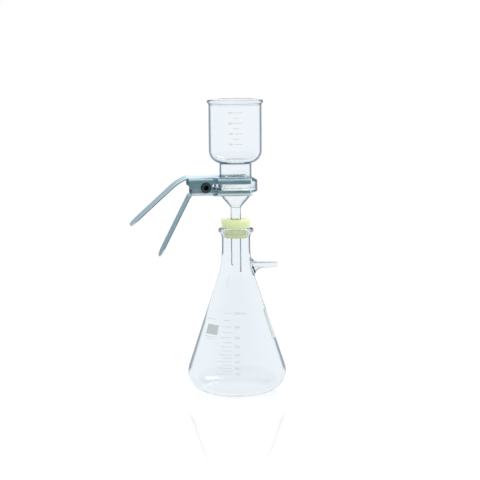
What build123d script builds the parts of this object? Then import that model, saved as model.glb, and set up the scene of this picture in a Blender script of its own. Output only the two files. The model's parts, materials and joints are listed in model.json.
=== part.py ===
from build123d import *
import os
from math import atan2, cos, degrees, radians, sin, sqrt

os.makedirs("parts", exist_ok=True)

# Vacuum filtration set: a 1000 mL filtering flask with a side arm, a one-hole stopper, a glass filter base and
# funnel, and a spring clamp. Millimetres, +Z up. The origin is the centre of the flask's flat bottom. The side
# arm points along +X and the clamp's handles along -X.

BOTTOM = (Align.CENTER, Align.CENTER, Align.MIN)

# Flask
FLASK_RADIUS, FLASK_TOP, WALL = 68.3, 229.0, 3.0
HEEL_RADIUS = 28.0  # round of the flask's side into its bottom
CONE_ANGLE = 18.3  # half angle of the flask's cone, degrees
NECK_RADIUS, NECK_TOP, BLEND_RADIUS = 19.6, 213.0, 150.0
BEAD_RADIUS, RIM_RADIUS = 3.8, 24.5
MOUTH_LIP = 1.0

# Side arm
ARM_Z, ARM_RADIUS, ARM_FLARE = 176.0, 4.75, 10.0
ARM_THROAT, ARM_MOUTH_RADIUS = 30.0, 7.5
ARM_SHOULDER, NOZZLE_END = 38.2, 57.6
NOZZLE_RADIUS, NOZZLE_TIP_RADIUS, NOZZLE_STRAIGHT, ARM_BORE = 4.4, 3.6, 8.0, 2.8

# No. 8 stopper
STOPPER_Z, STOPPER_LENGTH = 215.5, 25.0
STOPPER_BOTTOM_RADIUS, STOPPER_TOP_RADIUS, STOPPER_EDGE = 16.5, 20.5, 0.8
STOPPER_GAP = 0.1  # between the stopper and the flask's mouth

# Filter base and what lies in it
STEM_RADIUS, STEM_BORE, STEM_GAP = 7.1, 5.3, 0.05
TIP_HIGH, TIP_LOW = 177.5, 166.0
FLANGE_RADIUS, SEAL_Z = 30.2, 286.0
DISC_RADIUS, DISC_THICKNESS, DISC_GAP = 20.0, 4.0, 0.02
MEMBRANE_RADIUS, MEMBRANE_THICKNESS, MEMBRANE_SPACE = 23.5, 0.18, 0.2

# Funnel
FUNNEL_NECK, FUNNEL_BORE, FUNNEL_RADIUS, FUNNEL_INSIDE = 22.1, 19.6, 36.5, 34.2
SHOULDER_Z, SHOULDER_RADIUS, FUNNEL_TOP = 336.0, 18.0, 405.5
NECK_FILLET = 2.5
FUNNEL_BEAD, FUNNEL_BEAD_OUT = 2.75, 38.85

# Clamp
SHEET, BEND = 1.5, 3.5
UPPER_PLATE, UPPER_LIP = 300.5, 292.0
LOWER_PLATE, LOWER_LIP = 275.5, 283.4
FORK_HALF, THROAT = 32.5, 23.5
UPPER_HALF, LOWER_HALF = 23.2, 21.4
UPPER_REAR, LOWER_REAR, FORK_REAR = -66.5, -62.7, -33.0
UPPER_FRONT, LOWER_FRONT = 19.2, 20.5
UPPER_HANDLE_WIDTH, LOWER_HANDLE_WIDTH, HANDLE_ROUND = 45.0, 42.6, 15.0

# Hinge pin, spring and washers, round an axis along Y
PIVOT_X, PIVOT_Z = -43.0, 287.2
RIVET_RADIUS, RIVET_BORE, RIVET_FLANGE, RIVET_HALF = 4.3, 3.3, 6.0, 25.0
RUNNING_GAP = 0.05
WASHER_RADIUS, WASHER_THICKNESS = 7.1, 0.85
SLEEVE_RADIUS, SLEEVE_HALF = 5.6, 19.8
WIRE, COIL_RADIUS, COIL_TURNS, LEG_LENGTH = 1.8, 6.9, 12, 18.0
UPPER_EAR, LOWER_EAR = 8.2, 7.8


def spin(outline):
    """A solid of revolution about Z from an outline in (radius, height)."""
    return revolve(make_face(Plane.XZ * outline), Axis.Z)


def block(x0, x1, y0, y1, z0, z1):
    """A box between two corners."""
    middle = Pos((x0 + x1) / 2, (y0 + y1) / 2, (z0 + z1) / 2)
    return middle * Box(x1 - x0, y1 - y0, z1 - z0)


def prism(outline, half_width):
    """A prism along Y over an outline in (X, Z), half_width each side of Y = 0."""
    return extrude(make_face(Plane.XZ * outline), half_width, both=True)


def along_x(shape):
    """Turns a shape built about Z to lie on the side arm's axis."""
    return Pos(0, 0, ARM_Z) * Rot(0, 90, 0) * shape


def at_pivot(shape):
    """Turns a shape built about Z to lie on the clamp's hinge axis."""
    return Pos(PIVOT_X, 0, PIVOT_Z) * Rot(90, 0, 0) * shape


def ring(inner, outer, z0, z1):
    """A tube about Z."""
    return spin(Polyline((inner, z0), (outer, z0), (outer, z1), (inner, z1), close=True))


def flask_side(wall):
    """The flask's half outline from the centre of its bottom to the neck, moved inward by wall."""
    across, up = cos(radians(CONE_ANGLE)), sin(radians(CONE_ANGLE))
    heel_x = FLASK_RADIUS - HEEL_RADIUS
    blend_x = NECK_RADIUS + BLEND_RADIUS
    cone_offset = heel_x * across + HEEL_RADIUS * up + HEEL_RADIUS
    blend_z = (BLEND_RADIUS + cone_offset - blend_x * across) / up
    heel = HEEL_RADIUS - wall
    blend = BLEND_RADIUS + wall
    cone_low = (heel_x + heel * across, HEEL_RADIUS + heel * up)
    cone_high = (blend_x - blend * across, blend_z - blend * up)
    neck = NECK_RADIUS - wall
    return (
        Line((0, wall), (heel_x, wall))
        + CenterArc((heel_x, HEEL_RADIUS), heel, -90, 90 + CONE_ANGLE)
        + Line(cone_low, cone_high)
        + CenterArc((blend_x, blend_z), blend, 180 + CONE_ANGLE, -CONE_ANGLE)
        + Line((neck, blend_z), (neck, NECK_TOP))
    )


def flask_outside():
    """The flask's outer shape as a filled solid, with its beaded rim."""
    bead = (RIM_RADIUS - BEAD_RADIUS, FLASK_TOP - BEAD_RADIUS)
    under = radians(-80)
    flare_end = (bead[0] + BEAD_RADIUS * cos(under), bead[1] + BEAD_RADIUS * sin(under))
    return spin(
        flask_side(0)
        + TangentArc((NECK_RADIUS, NECK_TOP), flare_end, tangent=(0, 1))
        + CenterArc(bead, BEAD_RADIUS, -80, 170)
        + Polyline((bead[0], FLASK_TOP), (0, FLASK_TOP), (0, 0))
    )


def flask_cavity():
    """The space inside the flask, with the mouth tapered to take the stopper."""
    taper = (STOPPER_TOP_RADIUS - STOPPER_BOTTOM_RADIUS) / STOPPER_LENGTH
    seat = STOPPER_BOTTOM_RADIUS + STOPPER_GAP
    lip_z = FLASK_TOP - MOUTH_LIP
    lip = seat + taper * (lip_z - STOPPER_Z)
    above = FLASK_TOP + 1
    return spin(
        flask_side(WALL)
        + Polyline((NECK_RADIUS - WALL, NECK_TOP), (seat, STOPPER_Z), (lip, lip_z))
        + CenterArc((lip + MOUTH_LIP, lip_z), MOUTH_LIP, 180, -90)
        + Polyline((lip + MOUTH_LIP, FLASK_TOP), (lip + MOUTH_LIP, above), (0, above), (0, WALL))
    )


def flask():
    """Heavy-walled conical flask with its side arm melted on."""
    start = 5.0
    tube = along_x(Pos(0, 0, start) * Cylinder(ARM_RADIUS, ARM_SHOULDER - start, align=BOTTOM))
    body = flask_outside() + tube
    joint = Vector(NECK_RADIUS, 0, ARM_Z)
    seam = [e for e in body.edges() if (e.center() - joint).length < 2 * ARM_RADIUS]
    body = fillet(seam, ARM_FLARE)
    nozzle = spin(
        Polyline(
            (0, ARM_SHOULDER - 2),
            (NOZZLE_RADIUS, ARM_SHOULDER - 2),
            (NOZZLE_RADIUS, ARM_SHOULDER + NOZZLE_STRAIGHT),
            (NOZZLE_TIP_RADIUS, NOZZLE_END),
            (0, NOZZLE_END),
            close=True,
        )
    )
    bore = spin(
        Polyline((0, start), (ARM_MOUTH_RADIUS, start), (ARM_MOUTH_RADIUS, NECK_RADIUS - WALL))
        + TangentArc((ARM_BORE, ARM_THROAT), (ARM_MOUTH_RADIUS, NECK_RADIUS - WALL), tangent=(0, -1))
        + Polyline((ARM_BORE, ARM_THROAT), (ARM_BORE, NOZZLE_END + 1), (0, NOZZLE_END + 1), (0, start))
    )
    return body + along_x(nozzle) - flask_cavity() - along_x(bore)


def stopper():
    """Tapered one-hole stopper."""
    cone = Cone(STOPPER_BOTTOM_RADIUS, STOPPER_TOP_RADIUS, STOPPER_LENGTH, align=BOTTOM)
    cone = fillet(cone.edges().filter_by(GeomType.CIRCLE), STOPPER_EDGE)
    hole = Cylinder(STEM_RADIUS + STEM_GAP, 3 * STOPPER_LENGTH)
    return Pos(0, 0, STOPPER_Z) * (cone - hole)


def filter_base():
    """Filter support: flange, cone and stem, with a pocket for the disc and an oblique drip tip."""
    start = TIP_LOW - 10
    pocket = DISC_RADIUS + DISC_GAP
    ledge = SEAL_Z - DISC_THICKNESS
    outside = [
        (STEM_RADIUS, start),
        (STEM_RADIUS, 257.4),
        (17.4, 268.8),
        (23.0, 276.8),
        (FLANGE_RADIUS, 280.0),
        (FLANGE_RADIUS, SEAL_Z),
        (pocket, SEAL_Z),
    ]
    inside = [
        (18.5, ledge),
        (18.5, 275.5),
        (14.2, 269.0),
        (STEM_BORE, 259.4),
        (STEM_BORE, start),
    ]
    shape = spin(
        FilletPolyline(*outside, radius=[5, 12, 2.5, 0.8, 0.4])
        + Polyline(outside[-1], (pocket, ledge), inside[0])
        + FilletPolyline(*inside, radius=[4, 8, 4])
        + Line(inside[-1], outside[0])
    )
    slope = (TIP_HIGH - TIP_LOW) / (2 * STEM_RADIUS)
    middle = (0, 0, (TIP_HIGH + TIP_LOW) / 2)
    return split(shape, Plane(origin=middle, z_dir=(slope, 0, 1)), keep=Keep.TOP)


def fritted_disc():
    """Porous glass disc, flush with the ground face of the base."""
    return Pos(0, 0, SEAL_Z - DISC_THICKNESS) * Cylinder(DISC_RADIUS, DISC_THICKNESS, align=BOTTOM)


def membrane_filter():
    """Round filter membrane between the two flanges."""
    return Pos(0, 0, SEAL_Z) * Cylinder(MEMBRANE_RADIUS, MEMBRANE_THICKNESS, align=BOTTOM)


def touching_circle(line_x, radius, arc_radius):
    """Height of a circle that touches a vertical line and the funnel's shoulder arc from outside."""
    centre_x = FUNNEL_RADIUS - SHOULDER_RADIUS
    across = line_x + radius - centre_x
    return SHOULDER_Z - sqrt((arc_radius + radius) ** 2 - across**2)


def shoulder(neck, radius, arc_radius, inside):
    """The curve from the funnel's neck to its straight side."""
    centre_x = FUNNEL_RADIUS - SHOULDER_RADIUS
    fillet_z = touching_circle(neck, radius, arc_radius)
    fillet_x = neck + radius
    lean = degrees(atan2(fillet_z - SHOULDER_Z, fillet_x - centre_x))
    return (
        Line((neck, inside), (neck, fillet_z))
        + CenterArc((fillet_x, fillet_z), radius, 180, lean)
        + CenterArc((centre_x, SHOULDER_Z), arc_radius, lean, -lean)
    )


def funnel():
    """Reservoir with a ground flange, a narrow neck, a round shoulder and a beaded rim."""
    bottom = SEAL_Z + MEMBRANE_SPACE
    neck_start = 303.0
    flange = FilletPolyline(
        (FUNNEL_BORE, bottom),
        (FLANGE_RADIUS, bottom),
        (FLANGE_RADIUS, bottom + 8.8),
        (FUNNEL_NECK, 299.5),
        (FUNNEL_NECK, neck_start),
        radius=[0.4, 3.0, 1.6],
    )
    wall = FUNNEL_RADIUS - FUNNEL_INSIDE
    bead = (FUNNEL_BEAD_OUT - FUNNEL_BEAD, FUNNEL_TOP - FUNNEL_BEAD)
    under = radians(-65)
    bead_low = (bead[0] + FUNNEL_BEAD * cos(under), bead[1] + FUNNEL_BEAD * sin(under))
    lip = bead[0] - FUNNEL_INSIDE
    return spin(
        flange
        + shoulder(FUNNEL_NECK, NECK_FILLET, SHOULDER_RADIUS, neck_start)
        + Line((FUNNEL_RADIUS, SHOULDER_Z), (FUNNEL_RADIUS, bead_low[1] - 3))
        + TangentArc((FUNNEL_RADIUS, bead_low[1] - 3), bead_low, tangent=(0, 1))
        + CenterArc(bead, FUNNEL_BEAD, -65, 155)
        + CenterArc((bead[0], FUNNEL_TOP - lip), lip, 90, 90)
        + Line((FUNNEL_INSIDE, FUNNEL_TOP - lip), (FUNNEL_INSIDE, SHOULDER_Z))
        + shoulder(FUNNEL_BORE, 2 * NECK_FILLET, SHOULDER_RADIUS - wall, bottom)
    )


def channel(x0, x1, half_width, plate, lip):
    """A folded channel along X: a plate whose outer face is at height plate, and two sides that end at lip."""
    down = 1 if plate > lip else -1
    outer = block(x0, x1, -half_width, half_width, min(plate, lip), max(plate, lip))
    folds = [e for e in outer.edges().filter_by(Axis.X) if abs(e.center().Z - plate) < 0.01]
    outer = fillet(folds, BEND + SHEET)
    inner_plate = plate - down * SHEET
    open_end = lip - down
    low, high = min(inner_plate, open_end), max(inner_plate, open_end)
    inner = block(x0 - 1, x1 + 1, SHEET - half_width, half_width - SHEET, low, high)
    folds = [e for e in inner.edges().filter_by(Axis.X) if abs(e.center().Z - inner_plate) < 0.01]
    return outer - fillet(folds, BEND)


def fork(front, plate, lip, corner):
    """The forked front of a jaw, open towards +X."""
    shoulder_x = FORK_REAR + 6
    outline = Polyline(
        (FORK_REAR, -LOWER_HALF),
        (shoulder_x, -FORK_HALF),
        (front - corner, -FORK_HALF),
        (front, corner - FORK_HALF),
        (front, FORK_HALF - corner),
        (front - corner, FORK_HALF),
        (shoulder_x, FORK_HALF),
        (FORK_REAR, LOWER_HALF),
        close=True,
    )
    plan = Pos(0, 0, PIVOT_Z) * extrude(make_face(outline), 2 * THROAT, both=True)
    body = channel(FORK_REAR, front, FORK_HALF, plate, lip) & plan
    slot = block(0, front + 1, -THROAT, THROAT, LOWER_PLATE - 1, UPPER_PLATE + 1)
    return body - slot - Pos(0, 0, PIVOT_Z) * Cylinder(THROAT, 30)


def handle(points, radii, width, rear, half_width):
    """A bent strip along points in (X, Z), with a rounded end, from the flat of a channel that ends at rear."""
    path = Plane.XZ * FilletPolyline(*points, radius=radii)
    start = Plane(origin=path @ 0, x_dir=(0, 1, 0), z_dir=path % 0)
    strip = sweep(start * Rectangle(width, SHEET), path=path)
    tip = path @ 1
    corners = [e for e in strip.edges() if e.length < 2 * SHEET and (e.center() - tip).length < width]
    strip = fillet(corners, HANDLE_ROUND)
    flat = half_width - BEND - SHEET
    beside = block(rear, rear + 10, flat, width, LOWER_PLATE - 1, UPPER_PLATE + 1)
    return strip - beside - mirror(beside, about=Plane.XZ)


def run(start, angle, length):
    """The point that lies length from start, rearward and angle degrees down."""
    return (start[0] - length * cos(radians(angle)), start[1] - length * sin(radians(angle)))


def pivot_hole():
    """What the rivet's hole takes out of an ear."""
    return at_pivot(Cylinder(RIVET_RADIUS + RUNNING_GAP, 2 * FORK_HALF))


def clamp_upper_jaw():
    """Upper jaw: fork over the funnel's flange, two outer ears and the longer handle."""
    rear = channel(UPPER_REAR, FORK_REAR + 8, UPPER_HALF, UPPER_PLATE, PIVOT_Z - 2 * UPPER_EAR)
    lobe_low = (PIVOT_X, PIVOT_Z - UPPER_EAR)
    lobe_front = (PIVOT_X + UPPER_EAR, PIVOT_Z)
    top = UPPER_PLATE + 1
    ears = (
        Polyline((FORK_REAR + 9, top), (UPPER_REAR - 1, top), (UPPER_REAR - 1, 288), (UPPER_REAR, 288))
        + TangentArc(lobe_low, (UPPER_REAR, 288), tangent=(-1, 0))
        + CenterArc((PIVOT_X, PIVOT_Z), UPPER_EAR, -90, 90)
        + Polyline(lobe_front, (FORK_REAR, UPPER_LIP), (FORK_REAR + 9, UPPER_LIP), (FORK_REAR + 9, top))
    )
    middle = UPPER_PLATE - SHEET / 2
    bend = (UPPER_REAR - 1, middle)
    knee = run(bend, 23, 14)
    points = [(UPPER_REAR + 2, middle), bend, knee, run(knee, 42, 88)]
    strip = handle(points, [8, 60], UPPER_HANDLE_WIDTH, UPPER_REAR, UPPER_HALF)
    jaw = fork(UPPER_FRONT, UPPER_PLATE, UPPER_LIP, 2) + (rear & prism(ears, FORK_HALF)) + strip
    return jaw - pivot_hole()


def clamp_lower_jaw():
    """Lower jaw: fork under the base's flange, two inner ears and the shorter handle."""
    rear = channel(LOWER_REAR, FORK_REAR + 8, LOWER_HALF, LOWER_PLATE, PIVOT_Z + 2 * LOWER_EAR)
    slope = radians(26)
    lobe_rear = (PIVOT_X - LOWER_EAR * sin(slope), PIVOT_Z + LOWER_EAR * cos(slope))
    low = LOWER_PLATE - 1
    ears = (
        Polyline((FORK_REAR + 9, low), (LOWER_REAR - 1, low), (LOWER_REAR - 1, LOWER_PLATE + 4))
        + Polyline((LOWER_REAR - 1, LOWER_PLATE + 4), run(lobe_rear, 26, 15), lobe_rear)
        + CenterArc((PIVOT_X, PIVOT_Z), LOWER_EAR, 116, -116)
        + Polyline((PIVOT_X + LOWER_EAR, PIVOT_Z), (FORK_REAR, LOWER_LIP), (FORK_REAR + 9, LOWER_LIP))
        + Line((FORK_REAR + 9, LOWER_LIP), (FORK_REAR + 9, low))
    )
    middle = LOWER_PLATE + SHEET / 2
    bend = (LOWER_REAR - 1, middle)
    points = [(LOWER_REAR + 4, middle), bend, run(bend, 63, 94.6)]
    strip = handle(points, [6], LOWER_HANDLE_WIDTH, LOWER_REAR, LOWER_HALF)
    jaw = fork(LOWER_FRONT, LOWER_PLATE, LOWER_LIP, 4) + (rear & prism(ears, FORK_HALF)) + strip
    return jaw - pivot_hole()


def pivot_rivet():
    """Hollow rivet with rolled ends."""
    neck = UPPER_HALF + 2 * RUNNING_GAP + WASHER_THICKNESS
    outline = [
        (RIVET_BORE, -RIVET_HALF),
        (RIVET_FLANGE, -RIVET_HALF),
        (RIVET_FLANGE, -neck),
        (RIVET_RADIUS, -neck),
        (RIVET_RADIUS, neck),
        (RIVET_FLANGE, neck),
        (RIVET_FLANGE, RIVET_HALF),
        (RIVET_BORE, RIVET_HALF),
    ]
    rivet = spin(Polyline(*outline, close=True))
    rims = [e for e in rivet.edges() if abs(abs(e.center(CenterOf.BOUNDING_BOX).Z) - RIVET_HALF) < 0.01]
    return at_pivot(fillet(rims, 0.4))


def pivot_washers():
    """Two washers, one under each rolled end of the rivet."""
    inner = RIVET_RADIUS + RUNNING_GAP
    start = UPPER_HALF + RUNNING_GAP
    washer = ring(inner, WASHER_RADIUS, start, start + WASHER_THICKNESS)
    return Compound(children=[at_pivot(washer), at_pivot(mirror(washer, about=Plane.XY))])


def spring_sleeve():
    """Tube on the rivet that carries the spring and holds the ears apart."""
    return at_pivot(ring(RIVET_RADIUS + 2 * RUNNING_GAP, SLEEVE_RADIUS, -SLEEVE_HALF, SLEEVE_HALF))


def spring_leg(side, angle, y):
    """A straight leg that leaves the coil's top (side 1) or bottom (side -1) and runs rearward."""
    turn = radians(angle)
    start = (PIVOT_X + COIL_RADIUS * sin(turn), y, PIVOT_Z + side * COIL_RADIUS * cos(turn))
    leg = Plane(origin=start, z_dir=(-cos(turn), 0, side * sin(turn)))
    return leg * Pos(0, 0, -WIRE / 2) * Cylinder(WIRE / 2, LEG_LENGTH, align=BOTTOM)


def torsion_spring():
    """Close-wound torsion spring, each turn drawn as a ring, with a leg against each jaw's plate."""
    pitch = 0.93 * WIRE
    places = [(i - (COIL_TURNS - 1) / 2) * pitch for i in range(COIL_TURNS)]
    coil = Torus(COIL_RADIUS, WIRE / 2)
    spring = at_pivot(Pos(0, 0, places[0]) * coil)
    for place in places[1:]:
        spring += at_pivot(Pos(0, 0, place) * coil)
    return spring + spring_leg(1, 12.8, places[0]) + spring_leg(-1, 7.2, places[-1])


SUB_PARTS = {
    "flask": flask,
    "stopper": stopper,
    "filter_base": filter_base,
    "fritted_disc": fritted_disc,
    "membrane_filter": membrane_filter,
    "funnel": funnel,
    "clamp_upper_jaw": clamp_upper_jaw,
    "clamp_lower_jaw": clamp_lower_jaw,
    "pivot_rivet": pivot_rivet,
    "pivot_washers": pivot_washers,
    "spring_sleeve": spring_sleeve,
    "torsion_spring": torsion_spring,
}

for name, make in SUB_PARTS.items():
    export_step(make(), f"parts/{name}.step")
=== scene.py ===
import json
from math import cos, pi, radians, sin, tan

import bmesh
import bpy
from mathutils import Matrix, Vector
from mathutils.bvhtree import BVHTree

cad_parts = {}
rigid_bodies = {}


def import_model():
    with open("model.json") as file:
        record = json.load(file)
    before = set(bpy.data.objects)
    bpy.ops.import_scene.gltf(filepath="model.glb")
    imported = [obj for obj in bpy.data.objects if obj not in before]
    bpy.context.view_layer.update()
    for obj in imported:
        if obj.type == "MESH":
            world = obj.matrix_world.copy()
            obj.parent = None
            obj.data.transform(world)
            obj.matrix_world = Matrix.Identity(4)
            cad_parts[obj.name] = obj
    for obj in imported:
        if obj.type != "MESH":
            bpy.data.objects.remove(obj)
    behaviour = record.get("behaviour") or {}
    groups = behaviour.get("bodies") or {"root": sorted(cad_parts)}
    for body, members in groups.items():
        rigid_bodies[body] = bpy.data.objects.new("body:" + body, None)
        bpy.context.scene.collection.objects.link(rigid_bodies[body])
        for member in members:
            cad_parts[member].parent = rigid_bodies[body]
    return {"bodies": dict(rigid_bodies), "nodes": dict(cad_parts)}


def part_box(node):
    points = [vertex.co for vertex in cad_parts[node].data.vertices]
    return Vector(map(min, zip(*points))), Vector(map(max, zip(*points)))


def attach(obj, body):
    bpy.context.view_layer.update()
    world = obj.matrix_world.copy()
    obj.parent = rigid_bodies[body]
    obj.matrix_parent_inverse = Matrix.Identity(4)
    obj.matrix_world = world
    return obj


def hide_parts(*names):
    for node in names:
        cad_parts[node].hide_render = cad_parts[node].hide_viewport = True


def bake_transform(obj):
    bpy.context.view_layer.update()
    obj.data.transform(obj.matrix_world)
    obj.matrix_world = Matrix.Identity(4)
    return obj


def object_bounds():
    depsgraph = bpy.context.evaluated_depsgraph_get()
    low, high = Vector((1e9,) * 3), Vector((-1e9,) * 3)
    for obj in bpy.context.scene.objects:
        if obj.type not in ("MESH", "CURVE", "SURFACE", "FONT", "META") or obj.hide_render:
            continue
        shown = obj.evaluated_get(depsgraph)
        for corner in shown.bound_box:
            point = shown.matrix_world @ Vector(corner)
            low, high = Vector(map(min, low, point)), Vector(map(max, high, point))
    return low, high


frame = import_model()
NODES = frame["nodes"]
FRAME_OBJECTS = set(NODES.values()) | set(frame["bodies"].values())
for other in [o for o in bpy.data.objects if o not in FRAME_OBJECTS]:
    bpy.data.objects.remove(other)
CAD_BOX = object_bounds()
MM = 0.001


def middle(corners):
    """The point halfway between two corners."""
    return (corners[0] + corners[1]) / 2


# ---------------------------------------------------------------- camera

VIEW_AZIMUTH = radians(-6.5)
VIEW_DOWN = radians(7.8)
VIEW_ROLL = radians(-0.45)
VIEW_DISTANCE = 2.177
VIEW_SIDE = 0.0055
VIEW_HEIGHT = 0.104  # above the top of the object
VIEW_LENS = 119


def make_camera():
    """A long lens in front of the set, a little above its top and turned to its handle side."""
    camera = bpy.data.objects.new("camera", bpy.data.cameras.new("camera"))
    camera.data.lens = VIEW_LENS
    camera.data.sensor_width = 36
    camera.data.clip_end = 100
    back = Vector((sin(VIEW_AZIMUTH), -cos(VIEW_AZIMUTH), 0))
    side = Vector((cos(VIEW_AZIMUTH), sin(VIEW_AZIMUTH), 0))
    camera.location = back * VIEW_DISTANCE + side * VIEW_SIDE
    camera.location.z = CAD_BOX[1].z + VIEW_HEIGHT
    turn = Matrix.Rotation(VIEW_AZIMUTH, 3, "Z") @ Matrix.Rotation(pi / 2 - VIEW_DOWN, 3, "X")
    camera.rotation_euler = (turn @ Matrix.Rotation(VIEW_ROLL, 3, "Z")).to_euler()
    bpy.context.scene.collection.objects.link(camera)
    bpy.context.scene.camera = camera


# ---------------------------------------------------------------- node helpers


def node(tree, kind, inputs=None, **settings):
    """A shader node, with its settings, and its inputs set to a value or linked to a socket."""
    made = tree.nodes.new("ShaderNode" + kind)
    for name, value in settings.items():
        setattr(made, name, value)
    for name, value in (inputs or {}).items():
        if isinstance(value, bpy.types.NodeSocket):
            tree.links.new(value, made.inputs[name])
        else:
            made.inputs[name].default_value = value
    return made


def math(tree, operation, *values):
    """The result of a Math node."""
    return node(tree, "Math", dict(enumerate(values)), operation=operation).outputs[0]


def blend_colours(tree, share, first, second):
    """A colour that goes from first to second as share goes from 0 to 1."""
    made = node(tree, "Mix", data_type="RGBA")
    for name, value in (("Factor_Float", share), ("A_Color", first), ("B_Color", second)):
        socket = next(s for s in made.inputs if s.identifier == name)
        if isinstance(value, bpy.types.NodeSocket):
            tree.links.new(value, socket)
        else:
            socket.default_value = value
    return next(s for s in made.outputs if s.identifier == "Result_Color")


def smooth_range(tree, value, low, high, to_low=0.0, to_high=1.0):
    """Value taken smoothly from low..high to to_low..to_high."""
    limits = {"From Min": low, "From Max": high, "To Min": to_low, "To Max": to_high}
    limits["Value"] = value
    made = node(tree, "MapRange", limits, interpolation_type="SMOOTHSTEP")
    return made.outputs["Result"]


def grey(value):
    """A grey, as a colour."""
    return (value, value, value, 1)


def new_material(name):
    """An empty node material and its output node."""
    material = bpy.data.materials.new(name)
    material.use_nodes = True
    material.node_tree.nodes.clear()
    return material, node(material.node_tree, "OutputMaterial")


def noise(tree, scale, detail, stretch=(1, 1, 1)):
    """Noise in the object's own space, with its features per metre, stretched along the axes."""
    place = node(tree, "TexCoord").outputs["Object"]
    mapped = node(tree, "Mapping", {"Vector": place, "Scale": stretch}).outputs[0]
    made = node(tree, "TexNoise", {"Vector": mapped, "Scale": scale, "Detail": detail})
    return made.outputs["Fac"]


def bump(tree, height, strength, distance, normal=None):
    """A normal pushed about by a height."""
    inputs = {"Height": height, "Strength": strength, "Distance": distance}
    if normal is not None:
        inputs["Normal"] = normal
    return node(tree, "Bump", inputs).outputs["Normal"]


# ---------------------------------------------------------------- studio

KEY_DIRECTION = Vector((0.50, 0.50, 0.71)).normalized()
FLOOR_RADIUS = 1.2
FLOOR_SIDES = 96
FLOOR_GAP = 0.1 * MM  # under the flask
LAMP_DISTANCE, LAMP_SIZE, LAMP_POWER = 1.9, 0.7, 5.0
PANEL_WHITE = (0.89, 0.925, 0.96, 1)  # what glass shows of the surround and the floor


def through_glass(tree):
    """1 on a ray that glass let through or a smooth surface mirrored, before any matt one, 0 on others."""
    path = node(tree, "LightPath").outputs
    fresh = math(tree, "LESS_THAN", path["Diffuse Depth"], 0.5)
    mirrored = math(tree, "MULTIPLY", path["Is Reflection Ray"], path["Is Singular Ray"])
    clear = math(tree, "MAXIMUM", path["Is Transmission Ray"], mirrored)
    return math(tree, "MULTIPLY", clear, fresh)


def make_world():
    """White to the camera. Gloss, glass and matt surfaces each see a surround of their own.

    Gloss sees it bright towards the key and dark blue-green away from it, and glass sees a darker ceiling.
    """
    world = bpy.data.worlds.new("studio")
    bpy.context.scene.world = world
    world.use_nodes = True
    world.cycles.sampling_method = "NONE"
    tree = world.node_tree
    tree.nodes.clear()
    direction = node(tree, "TexCoord").outputs["Generated"]
    x, _, z = node(tree, "SeparateXYZ", {0: direction}).outputs

    along_key = node(tree, "VectorMath", {0: direction, 1: KEY_DIRECTION}, operation="DOT_PRODUCT")
    key = smooth_range(tree, along_key.outputs["Value"], -0.25, 0.62)
    glossy = blend_colours(tree, key, (0.066, 0.185, 0.198, 1), (1.22, 1.32, 1.38, 1))
    handle_side = smooth_range(tree, x, 0.15, -0.45, 0.0, 0.9)
    glossy = blend_colours(tree, handle_side, glossy, (0.11, 0.23, 0.32, 1))
    soft = blend_colours(tree, key, (0.80, 0.81, 0.82, 1), (1.35, 1.35, 1.35, 1))

    above = smooth_range(tree, z, 0.22, 0.50)
    through = blend_colours(tree, above, PANEL_WHITE, (0.28, 0.33, 0.40, 1))

    path = node(tree, "LightPath").outputs
    matt = math(tree, "GREATER_THAN", path["Diffuse Depth"], 0.5)
    seen = blend_colours(tree, matt, glossy, soft)
    seen = blend_colours(tree, through_glass(tree), seen, through)
    seen = blend_colours(tree, path["Is Camera Ray"], seen, (1, 1, 1, 1))
    background = node(tree, "Background", {"Color": seen})
    output = node(tree, "OutputWorld")
    tree.links.new(background.outputs[0], output.inputs["Surface"])


def floor_material():
    """White acrylic that glows, most beside the object, and whose polish shows only there.

    A ray through glass sees it as plain panel white.
    """
    material, output = new_material("white_acrylic")
    material.cycles.emission_sampling = "NONE"
    tree = material.node_tree
    place = node(tree, "TexCoord").outputs["Object"]
    distance = node(tree, "VectorMath", {0: place}, operation="LENGTH").outputs["Value"]
    polish = smooth_range(tree, distance, 0.10, 0.48, 0.34, 0.0)
    lit = smooth_range(tree, distance, 0.2, 0.7, 0.95, 0.10)
    camera = node(tree, "LightPath").outputs["Is Camera Ray"]
    strength = math(tree, "MAXIMUM", lit, math(tree, "MULTIPLY", camera, 0.83))
    glow = node(tree, "Emission", {"Color": (1, 1, 1, 1), "Strength": strength})
    matt = node(tree, "BsdfDiffuse", {"Color": (0.17, 0.17, 0.17, 1)})
    white = node(tree, "AddShader", {0: glow.outputs[0], 1: matt.outputs[0]})
    gloss = node(tree, "BsdfAnisotropic", {"Color": (1, 1, 1, 1), "Roughness": 0.0})
    seen = node(tree, "MixShader", {"Fac": polish, 1: white.outputs[0], 2: gloss.outputs[0]})
    panels = node(tree, "Emission", {"Color": PANEL_WHITE})
    fac = through_glass(tree)
    surface = node(tree, "MixShader", {"Fac": fac, 1: seen.outputs[0], 2: panels.outputs[0]})
    tree.links.new(surface.outputs[0], output.inputs["Surface"])
    return material


def make_floor():
    """A wide round floor just under the flask."""
    mesh = bpy.data.meshes.new("floor")
    shape = bmesh.new()
    bmesh.ops.create_circle(shape, cap_ends=True, segments=FLOOR_SIDES, radius=FLOOR_RADIUS)
    shape.to_mesh(mesh)
    shape.free()
    mesh.materials.append(floor_material())
    floor = bpy.data.objects.new("floor", mesh)
    floor.location.z = CAD_BOX[0].z - FLOOR_GAP
    bpy.context.scene.collection.objects.link(floor)


def make_lamp(name, place, target, size, power):
    """A square soft lamp that faces the target."""
    data = bpy.data.lights.new(name, "AREA")
    data.size = size
    data.energy = power
    lamp = bpy.data.objects.new(name, data)
    lamp.location = place
    lamp.rotation_euler = (Vector(place) - target).to_track_quat("Z", "Y").to_euler()
    bpy.context.scene.collection.objects.link(lamp)


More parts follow.
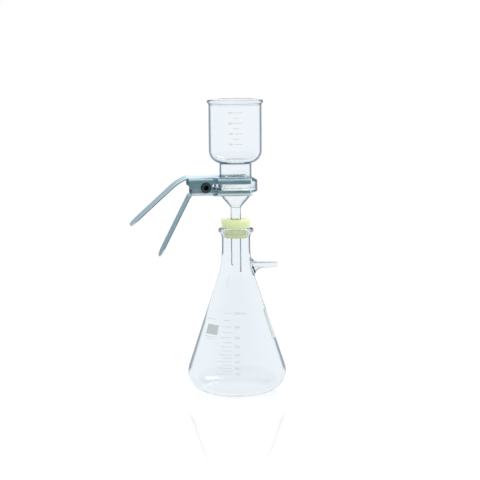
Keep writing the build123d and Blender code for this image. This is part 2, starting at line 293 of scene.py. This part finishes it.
def make_studio():
    """Surround, floor, a soft key lamp above, behind and to the right, and long light paths for the glass."""
    make_world()
    make_floor()
    centre = middle(CAD_BOX)
    make_lamp("key_lamp", centre + KEY_DIRECTION * LAMP_DISTANCE, centre, LAMP_SIZE, LAMP_POWER)
    scene = bpy.context.scene
    scene.view_settings.view_transform = "Standard"
    scene.cycles.max_bounces = 32
    scene.cycles.transmission_bounces = 32
    scene.cycles.glossy_bounces = 12


# ---------------------------------------------------------------- materials

PAINTED_EDGE_SHADE = (0.012, 0.03, 0.07, 1)  # painted shade: the dark outline that thick glass shows of its darker surround, painted into the glass colour
# How wide the painted slate edge shade of each vessel is, from the bottom up: (height in mm, share of the
# full width).
FLASK_EDGE_SHADE_WIDTHS = (
    (0, 0),
    (22, 0.2),
    (36, 0.76),
    (100, 0.76),
    (130, 0.42),
    (156, 0.3),
    (160, 0),
    (184, 0),
    (194, 1),
    (218, 1),
    (223, 0.5),
    (229, 0.5),
)
BASE_EDGE_SHADE_WIDTHS = (150, 1), (240, 1), (251, 0.72), (290, 0.65)
FUNNEL_EDGE_SHADE_WIDTHS = (290, 1), (317, 1), (325, 0.85), (405, 0.85)


def principled(tree, output, inputs):
    """A Principled shader on the output's surface."""
    shader = node(tree, "BsdfPrincipled", inputs)
    tree.links.new(shader.outputs[0], output.inputs["Surface"])


def narrowing(tree, stops):
    """What to take off Facing for the stops' widths of painted edge shade: 0 at a share of 1, and 0.5 at a
    share of 0.
    """
    place = node(tree, "TexCoord").outputs["Object"]
    height = node(tree, "SeparateXYZ", {0: place}).outputs[2]
    top = stops[-1][0] * MM
    ramp = node(tree, "ValToRGB", {"Fac": math(tree, "DIVIDE", height, top)})
    elements = ramp.color_ramp.elements
    while len(elements) < len(stops):
        elements.new(1.0)
    for element, (stop, share) in zip(elements, stops):
        element.position = stop * MM / top
        element.color = grey(share)
    return math(tree, "MULTIPLY_ADD", ramp.outputs["Color"], -0.5, 0.5)


def outer_skin(tree):
    """1 on the outside of a round vessel, 0 on the wall of its cavity."""
    surface = node(tree, "NewGeometry").outputs
    place = node(tree, "TexCoord").outputs["Object"]
    away = node(tree, "VectorMath", {0: place, 1: (1, 1, 0)}, operation="MULTIPLY").outputs[0]
    along = node(tree, "VectorMath", {0: surface["True Normal"], 1: away}, operation="DOT_PRODUCT")
    side = math(tree, "MULTIPLY_ADD", surface["Backfacing"], -2.0, 1.0)
    outward = math(tree, "MULTIPLY", along.outputs["Value"], side)
    return math(tree, "GREATER_THAN", outward, 0.0)


def glass_material(name, shade_start, shade_full, shade_widths):
    """Fire-polished borosilicate: clear, faintly blue-green in its depth, and a little wavy.

    Its outside is painted slate at a grazing angle, between the given start and full values of Facing:
    painted shade for the dark surround that thick glass shows at its edges.
    """
    material, output = new_material(name)
    tree = material.node_tree
    facing = node(tree, "LayerWeight", {"Blend": 0.5}).outputs["Facing"]
    narrowed = math(tree, "SUBTRACT", facing, narrowing(tree, shade_widths))
    grazing = smooth_range(tree, narrowed, shade_start, shade_full)
    # painted shade: the glass colour turns slate on the outside at grazing angles, for the dark edges of
    # thick glass
    painted_edge_shade = math(tree, "MULTIPLY", grazing, outer_skin(tree))
    colour = blend_colours(tree, painted_edge_shade, (1, 1, 1, 1), PAINTED_EDGE_SHADE)
    waves = noise(tree, 9, 1.0, (1, 1, 0.35))
    principled(
        tree,
        output,
        {
            "Base Color": colour,
            "Roughness": 0.0,
            "IOR": 1.47,
            "Transmission Weight": 1.0,
            "Normal": bump(tree, waves, 0.05, 1 * MM),
        },
    )
    depth = node(tree, "VolumeAbsorption", {"Color": (0.20, 0.65, 0.80, 1), "Density": 9.0})
    tree.links.new(depth.outputs[0], output.inputs["Volume"])
    return material


def silicone_material():
    """Translucent yellow-green silicone with a bloomed, faintly mottled surface.

    Its emission stands for the light that comes through it from behind.
    """
    material, output = new_material("silicone")
    tree = material.node_tree
    mottle = noise(tree, 160, 4.0)
    colour = blend_colours(tree, mottle, (0.62, 0.68, 0.38, 1), (0.70, 0.76, 0.47, 1))
    principled(
        tree,
        output,
        {
            "Base Color": colour,
            "Roughness": smooth_range(tree, mottle, 0.3, 0.7, 0.38, 0.55),
            "IOR": 1.41,
            "Subsurface Weight": 0.6,
            "Subsurface Radius": (1.0, 1.0, 0.45),
            "Subsurface Scale": 6 * MM,
            "Emission Color": colour,
            "Emission Strength": 0.30,
            "Normal": bump(tree, noise(tree, 900, 3.0), 0.15, 0.1 * MM),
        },
    )
    return material


def frit_material():
    """Sintered glass: fused white grains, lit a little from within by emission."""
    material, output = new_material("sintered_glass")
    tree = material.node_tree
    place = node(tree, "TexCoord").outputs["Object"]
    grains = node(tree, "TexVoronoi", {"Vector": place, "Scale": 3500}).outputs["Distance"]
    colour = blend_colours(tree, grains, (0.95, 0.96, 0.96, 1), (0.80, 0.83, 0.84, 1))
    principled(
        tree,
        output,
        {
            "Base Color": colour,
            "Roughness": 0.75,
            "Subsurface Weight": 0.3,
            "Subsurface Radius": (1.0, 1.0, 1.0),
            "Subsurface Scale": 2 * MM,
            "Emission Color": colour,
            "Emission Strength": 0.6,
            "Normal": bump(tree, grains, 0.5, 0.1 * MM),
        },
    )
    return material


def membrane_material():
    """A cellulose membrane: white, with a felt of very fine fibres, lit a little from within by emission."""
    material, output = new_material("cellulose_membrane")
    tree = material.node_tree
    fibres = noise(tree, 2500, 6.0)
    colour = blend_colours(tree, fibres, (0.90, 0.90, 0.88, 1), (0.98, 0.98, 0.97, 1))
    principled(
        tree,
        output,
        {
            "Base Color": colour,
            "Roughness": 0.9,
            "Emission Color": colour,
            "Emission Strength": 0.4,
            "Normal": bump(tree, fibres, 0.3, 0.05 * MM),
        },
    )
    return material


def edge_mask(tree, radius):
    """1 along a sharp edge, 0 on a flat, and the normal that rounds the edge."""
    rounded = node(tree, "Bevel", {"Radius": radius}, samples=6).outputs["Normal"]
    flat = node(tree, "NewGeometry").outputs["Normal"]
    same = node(tree, "VectorMath", {0: rounded, 1: flat}, operation="DOT_PRODUCT").outputs["Value"]
    return smooth_range(tree, same, 0.995, 0.9), rounded


def anodised_material():
    """Clear-anodised aluminium sheet: satin, with drawn grain along the strip and bright rubbed edges."""
    material, output = new_material("anodised_aluminium")
    tree = material.node_tree
    edges, rounded = edge_mask(tree, 0.35 * MM)
    grain = noise(tree, 60, 4.0, (1, 40, 6))
    clouds = smooth_range(tree, noise(tree, 45, 3.0), 0.35, 0.75, 0, 0.35)
    colour = blend_colours(tree, grain, (0.56, 0.66, 0.70, 1), (0.66, 0.76, 0.79, 1))
    colour = blend_colours(tree, clouds, colour, (0.50, 0.61, 0.66, 1))
    colour = blend_colours(tree, edges, colour, (0.85, 0.89, 0.90, 1))
    principled(
        tree,
        output,
        {
            "Base Color": colour,
            "Metallic": 0.92,
            "Roughness": smooth_range(tree, grain, 0.3, 0.7, 0.30, 0.44),
            "Anisotropic": 0.35,
            "Coat Weight": 0.15,
            "Coat Roughness": 0.25,
            "Normal": bump(tree, grain, 0.10, 0.05 * MM, rounded),
        },
    )
    return material


def steel_material(name, dark, light, roughness, scale=900, bore=None):
    """Turned or drawn steel, with fine scratches and rubbed edges.

    A bore, given as (a point on its axis, radius) and running along Y, is painted black and dull inside:
    painted shade for its hollow.
    """
    material, output = new_material(name)
    tree = material.node_tree
    edges, rounded = edge_mask(tree, 0.2 * MM)
    scratches = noise(tree, scale, 5.0)
    colour = blend_colours(tree, scratches, dark, light)
    colour = blend_colours(tree, math(tree, "MULTIPLY", edges, 0.4), colour, grey(0.45))
    metallic = 1.0
    rough = smooth_range(tree, scratches, 0.3, 0.7, roughness - 0.08, roughness + 0.08)
    if bore is not None:
        place = node(tree, "TexCoord").outputs["Object"]
        from_axis = node(tree, "VectorMath", {0: place, 1: bore[0]}, operation="SUBTRACT").outputs[0]
        across = node(tree, "VectorMath", {0: from_axis, 1: (1, 0, 1)}, operation="MULTIPLY").outputs[0]
        distance = node(tree, "VectorMath", {0: across}, operation="LENGTH").outputs["Value"]
        # painted shade: within the bore's radius the steel turns near-black, dull and not metallic
        painted_bore_shade = smooth_range(tree, distance, bore[1] + 0.1 * MM, bore[1])
        colour = blend_colours(tree, painted_bore_shade, colour, (0.004, 0.005, 0.006, 1))
        metallic = math(tree, "SUBTRACT", 1.0, painted_bore_shade)
        rough = math(tree, "MAXIMUM", rough, painted_bore_shade)
    principled(
        tree,
        output,
        {
            "Base Color": colour,
            "Metallic": metallic,
            "Roughness": rough,
            "Normal": bump(tree, scratches, 0.12, 0.05 * MM, rounded),
        },
    )
    return material


def nylon_material():
    """Black moulded nylon with a fine sparked texture."""
    material, output = new_material("black_nylon")
    tree = material.node_tree
    grain = noise(tree, 1500, 3.0)
    colour = blend_colours(tree, grain, (0.020, 0.022, 0.024, 1), (0.040, 0.042, 0.045, 1))
    normal = bump(tree, grain, 0.3, 0.05 * MM)
    principled(tree, output, {"Base Color": colour, "Roughness": 0.5, "Normal": normal})
    return material


def enamel_material():
    """Pale grey-green ceramic ink fired on the glass, a little uneven."""
    material, output = new_material("fired_enamel")
    tree = material.node_tree
    patches = noise(tree, 700, 4.0)
    colour = blend_colours(tree, patches, (0.53, 0.60, 0.58, 1), (0.64, 0.70, 0.68, 1))
    normal = bump(tree, patches, 0.2, 0.05 * MM)
    principled(tree, output, {"Base Color": colour, "Roughness": 0.55, "Normal": normal})
    return material


def dress(name, material):
    """Gives a CAD node its material."""
    slots = NODES[name].data.materials
    slots.clear()
    slots.append(material)


# ---------------------------------------------------------------- piece helpers


def new_piece(name, shape, material, body):
    """An object from a bmesh, with its material, riding on a body. A body of None leaves it to be blended."""
    mesh = bpy.data.meshes.new(name)
    bmesh.ops.recalc_face_normals(shape, faces=shape.faces)
    shape.to_mesh(mesh)
    shape.free()
    mesh.materials.append(material)
    piece = bpy.data.objects.new(name, mesh)
    bpy.context.scene.collection.objects.link(piece)
    if body is not None:
        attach(piece, body)
    return piece


# ---------------------------------------------------------------- printed scales

PRINT_LIFT = 0.02 * MM  # between the glass and the print
PRINT_THICKNESS = 0.05 * MM
PRINT_STEP = 1.2 * MM  # about the longest straight piece of a print that follows the glass
LINE_WIDTH = 0.5 * MM
FIGURE_ASPECT = 0.72  # height of a figure for a font size of 1
FIGURE_CURVE_STEPS = 4
OUTSIDE = 0.2  # farther from the axis than any glass


class Vessel:
    """The outside of a round glass, for printing on it. Across runs right from its front line."""

    def __init__(self, name):
        self.shape = bmesh.new()
        source = bmesh.new()
        source.from_mesh(NODES[name].data)
        self.surface = BVHTree.FromBMesh(source)
        source.free()

    def outside(self, angle, height):
        """The point and the normal of the glass at an angle to the right of the front."""
        turn = VIEW_AZIMUTH + angle
        outward = Vector((sin(turn), -cos(turn), 0))
        start = outward * OUTSIDE + Vector((0, 0, height))
        point, normal, _, _ = self.surface.ray_cast(start, -outward)
        return point, normal

    def lifted(self, angle, height):
        """A point of the print, just off the glass."""
        point, normal = self.outside(angle, height)
        return point + normal * PRINT_LIFT

    def patch(self, left, right, bottom, top):
        """A filled rectangle, cut into a grid that follows the glass."""
        columns = max(2, int((right - left) / PRINT_STEP))
        rows = max(1, int((top - bottom) / PRINT_STEP))
        radius = self.outside(0, (bottom + top) / 2)[0].xy.length
        grid = []
        for i in range(columns + 1):
            angle = (left + (right - left) * i / columns) / radius
            heights = [bottom + (top - bottom) * j / rows for j in range(rows + 1)]
            grid.append([self.shape.verts.new(self.lifted(angle, z)) for z in heights])
        for near, far in zip(grid, grid[1:]):
            for j in range(rows):
                self.shape.faces.new((near[j], far[j], far[j + 1], near[j + 1]))

    def line(self, left, right, height):
        """A level line."""
        self.patch(left, right, height - LINE_WIDTH / 2, height + LINE_WIDTH / 2)

    def figure(self, text, centre, height, size):
        """Figures, centred on a point and size high."""
        curve = bpy.data.curves.new("figure", "FONT")
        curve.body = text
        curve.size = size / FIGURE_ASPECT
        curve.align_x = "CENTER"
        curve.resolution_u = FIGURE_CURVE_STEPS
        letters = bpy.data.objects.new("figure", curve)
        flat = bpy.data.meshes.new_from_object(letters)
        corners = []
        radius = self.outside(0, height)[0].xy.length
        for vertex in flat.vertices:
            spot = self.lifted((centre + vertex.co.x) / radius, height + vertex.co.y - size / 2)
            corners.append(self.shape.verts.new(spot))
        for polygon in flat.polygons:
            self.shape.faces.new([corners[i] for i in polygon.vertices])
        bpy.data.objects.remove(letters)
        bpy.data.curves.remove(curve)
        bpy.data.meshes.remove(flat)

    def finish(self, name, material, body):
        """Gives the print its thickness, outward from the glass."""
        bmesh.ops.remove_doubles(self.shape, verts=self.shape.verts, dist=0.001 * MM)
        for face in self.shape.faces:
            face.normal_update()
            if face.normal.dot(face.calc_center_median() * Vector((1, 1, 0))) < 0:
                face.normal_flip()
        bmesh.ops.solidify(self.shape, geom=self.shape.faces[:], thickness=-PRINT_THICKNESS)
        new_piece(name, self.shape, material, body)


FLASK_MARKS = range(1000, 299, -50)  # mL
FLASK_TOP_MARK, FLASK_LOW_MARK = 115.6 * MM, 36.2 * MM
LOW_MARK_RADIUS = 64.1 * MM  # inside the glass
CONE_SLOPE = tan(radians(18.3))
MARKS_RIGHT = -6.9 * MM
LONG_MARK = 11.0, 10.5  # length at the scale's top, and what its foot adds, mm
SHORT_MARK = 10.5, 3.5
FLASK_FIGURE = 3.6 * MM
FIGURES_CENTRE, UNIT_CENTRE = 0.8 * MM, 10.8 * MM
NOTE_PATCH = (-48, -27, 86, 99)  # left, right, bottom and top, mm
NOTE_LINES = (-48, -31, 106), (-54, -30, 83), (-50, -34, 80)  # left, right and height, mm
LABEL_PATCH = (58, 74, 76, 116)


def flask_mark_height(volume):
    """Where the level stands in a cone that narrows upward, between the top mark and the lowest one."""
    low = LOW_MARK_RADIUS
    top = low - (FLASK_TOP_MARK - FLASK_LOW_MARK) * CONE_SLOPE
    filled = (volume - FLASK_MARKS[-1]) / (FLASK_MARKS[0] - FLASK_MARKS[-1])
    radius = (low**3 - filled * (low**3 - top**3)) ** (1 / 3)
    return FLASK_LOW_MARK + (low - radius) / CONE_SLOPE


def print_flask(material):
    """Marks every 50 mL, figures every 100 mL, and blank enamel patches and lines."""
    vessel = Vessel("flask")
    for volume in FLASK_MARKS:
        height = flask_mark_height(volume)
        down = (FLASK_TOP_MARK - height) / (FLASK_TOP_MARK - FLASK_LOW_MARK)
        major = volume % 100 == 0
        length, growth = LONG_MARK if major else SHORT_MARK
        vessel.line(MARKS_RIGHT - (length + growth * down) * MM, MARKS_RIGHT, height)
        if major:
            vessel.figure(str(volume), FIGURES_CENTRE, height, FLASK_FIGURE)
    vessel.figure("mL", UNIT_CENTRE, FLASK_TOP_MARK, FLASK_FIGURE)
    vessel.patch(*(side * MM for side in NOTE_PATCH))
    for line in NOTE_LINES:
        vessel.line(*(place * MM for place in line))
    vessel.patch(*(side * MM for side in LABEL_PATCH))
    vessel.finish("flask_scale", material, "flask")


FUNNEL_MARKS = range(250, 99, -25)  # mL
FUNNEL_TOP_MARK, FUNNEL_STEP = 389.0 * MM, 7.07 * MM
FUNNEL_LONG_MARK = (-1.0 * MM, 9.8 * MM)  # left and right
FUNNEL_SHORT_MARK = (-2.6 * MM, 5.6 * MM)
FUNNEL_FIGURES_CENTRE, FUNNEL_FIGURE = -6.4 * MM, 3.0 * MM


def print_funnel(material):
    """Marks every 25 mL and figures every 50 mL."""
    vessel = Vessel("funnel")
    for i, volume in enumerate(FUNNEL_MARKS):
        height = FUNNEL_TOP_MARK - i * FUNNEL_STEP
        if volume % 50 == 0:
            vessel.line(*FUNNEL_LONG_MARK, height)
            vessel.figure(str(volume), FUNNEL_FIGURES_CENTRE, height, FUNNEL_FIGURE)
        else:
            vessel.line(*FUNNEL_SHORT_MARK, height)
    vessel.finish("funnel_scale", material, "funnel")


# ---------------------------------------------------------------- torsion spring

WIRE = 1.8 * MM
WIRE_SIDES = 14
COIL_RADIUS = 6.9 * MM
COIL_REACH = 9.2 * MM  # of the end turns from the middle, along the pivot
LEG_TILTS = 12.8, 7.2  # of the upper and the lower leg, degrees
HALF_TURNS = (9.5 - sum(LEG_TILTS) / 360) / 2  # so that the two halves meet
TURN_STEPS = 40  # points in a turn
LEG_LENGTH = 18 * MM
LEG_SHARES = 0.02, 0.25, 0.5, 0.75, 1  # of the leg's length, at its points after the coil


def wire_mesh(points, radius):
    """A round wire along points, cut square at its ends."""
    shape = bmesh.new()
    rings = []
    side = Vector((0, 1, 0))
    for i, point in enumerate(points):
        ahead = points[min(i + 1, len(points) - 1)] - points[max(i - 1, 0)]
        side = (side - ahead * side.dot(ahead) / ahead.length_squared).normalized()
        up = ahead.cross(side).normalized()
        ring = []
        for k in range(WIRE_SIDES):
            turn = 2 * pi * k / WIRE_SIDES
            ring.append(shape.verts.new(point + (side * cos(turn) + up * sin(turn)) * radius))
        rings.append(ring)
    for near, far in zip(rings, rings[1:]):
        for k in range(WIRE_SIDES):
            face = shape.faces.new((near[k], near[k - 1], far[k - 1], far[k]))
            face.smooth = True
    shape.faces.new(rings[0])
    shape.faces.new(rings[-1])
    return shape


def make_spring(material):
    """A close-wound spring in two halves that meet in the middle, each left without a body, to be blended."""
    pivot = middle(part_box("pivot_rivet"))
    steps = int(HALF_TURNS * TURN_STEPS)
    for name, side, tilt, body in (
        ("spring_upper_half", 1, radians(LEG_TILTS[0]), "clamp_upper"),
        ("spring_lower_half", -1, radians(LEG_TILTS[1]), "clamp_lower"),
    ):
        # The wire leaves the coil's top (side 1) or bottom (side -1) and runs rearward.
        points = []
        for i in range(steps + 1):
            angle = HALF_TURNS * 2 * pi * (1 - i / steps) + tilt
            radial = Vector((sin(angle), 0, side * cos(angle))) * COIL_RADIUS
            points.append(pivot + radial + Vector((0, -side * COIL_REACH * i / steps, 0)))
        leg = Vector((-cos(tilt), 0, side * sin(tilt)))
        points += [points[-1] + leg * LEG_LENGTH * share for share in LEG_SHARES]
        shape = wire_mesh(points, WIRE / 2)
        piece = new_piece(name, shape, material, None)
        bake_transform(piece)
        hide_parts("torsion_spring")


# ---------------------------------------------------------------- the whole set

RIVET_BORE = 3.4 * MM  # radius of the painted bore shade, a little over the hole's own


def dress_nodes():
    """Gives every CAD piece that is shown its material."""
    dress("flask", glass_material("flask_borosilicate", 0.46, 0.62, FLASK_EDGE_SHADE_WIDTHS))
    dress("filter_base", glass_material("base_borosilicate", 0.26, 0.48, BASE_EDGE_SHADE_WIDTHS))
    dress("funnel", glass_material("funnel_borosilicate", 0.46, 0.60, FUNNEL_EDGE_SHADE_WIDTHS))
    dress("stopper", silicone_material())
    dress("fritted_disc", frit_material())
    dress("membrane_filter", membrane_material())
    anodised = anodised_material()
    dress("clamp_upper_jaw", anodised)
    dress("clamp_lower_jaw", anodised)
    bore = (middle(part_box("pivot_rivet")), RIVET_BORE)
    rivet = steel_material("rivet_steel", (0.10, 0.13, 0.15, 1), (0.17, 0.20, 0.22, 1), 0.35, bore=bore)
    washers = steel_material("black_steel", (0.05, 0.07, 0.08, 1), (0.10, 0.12, 0.13, 1), 0.45)
    dress("pivot_rivet", rivet)
    dress("pivot_washers", washers)
    dress("spring_sleeve", nylon_material())


make_camera()
make_studio()
dress_nodes()
enamel = enamel_material()
print_flask(enamel)
print_funnel(enamel)
wire = steel_material("spring_wire", (0.40, 0.42, 0.44, 1), (0.55, 0.57, 0.59, 1), 0.28, scale=1500)
make_spring(wire)
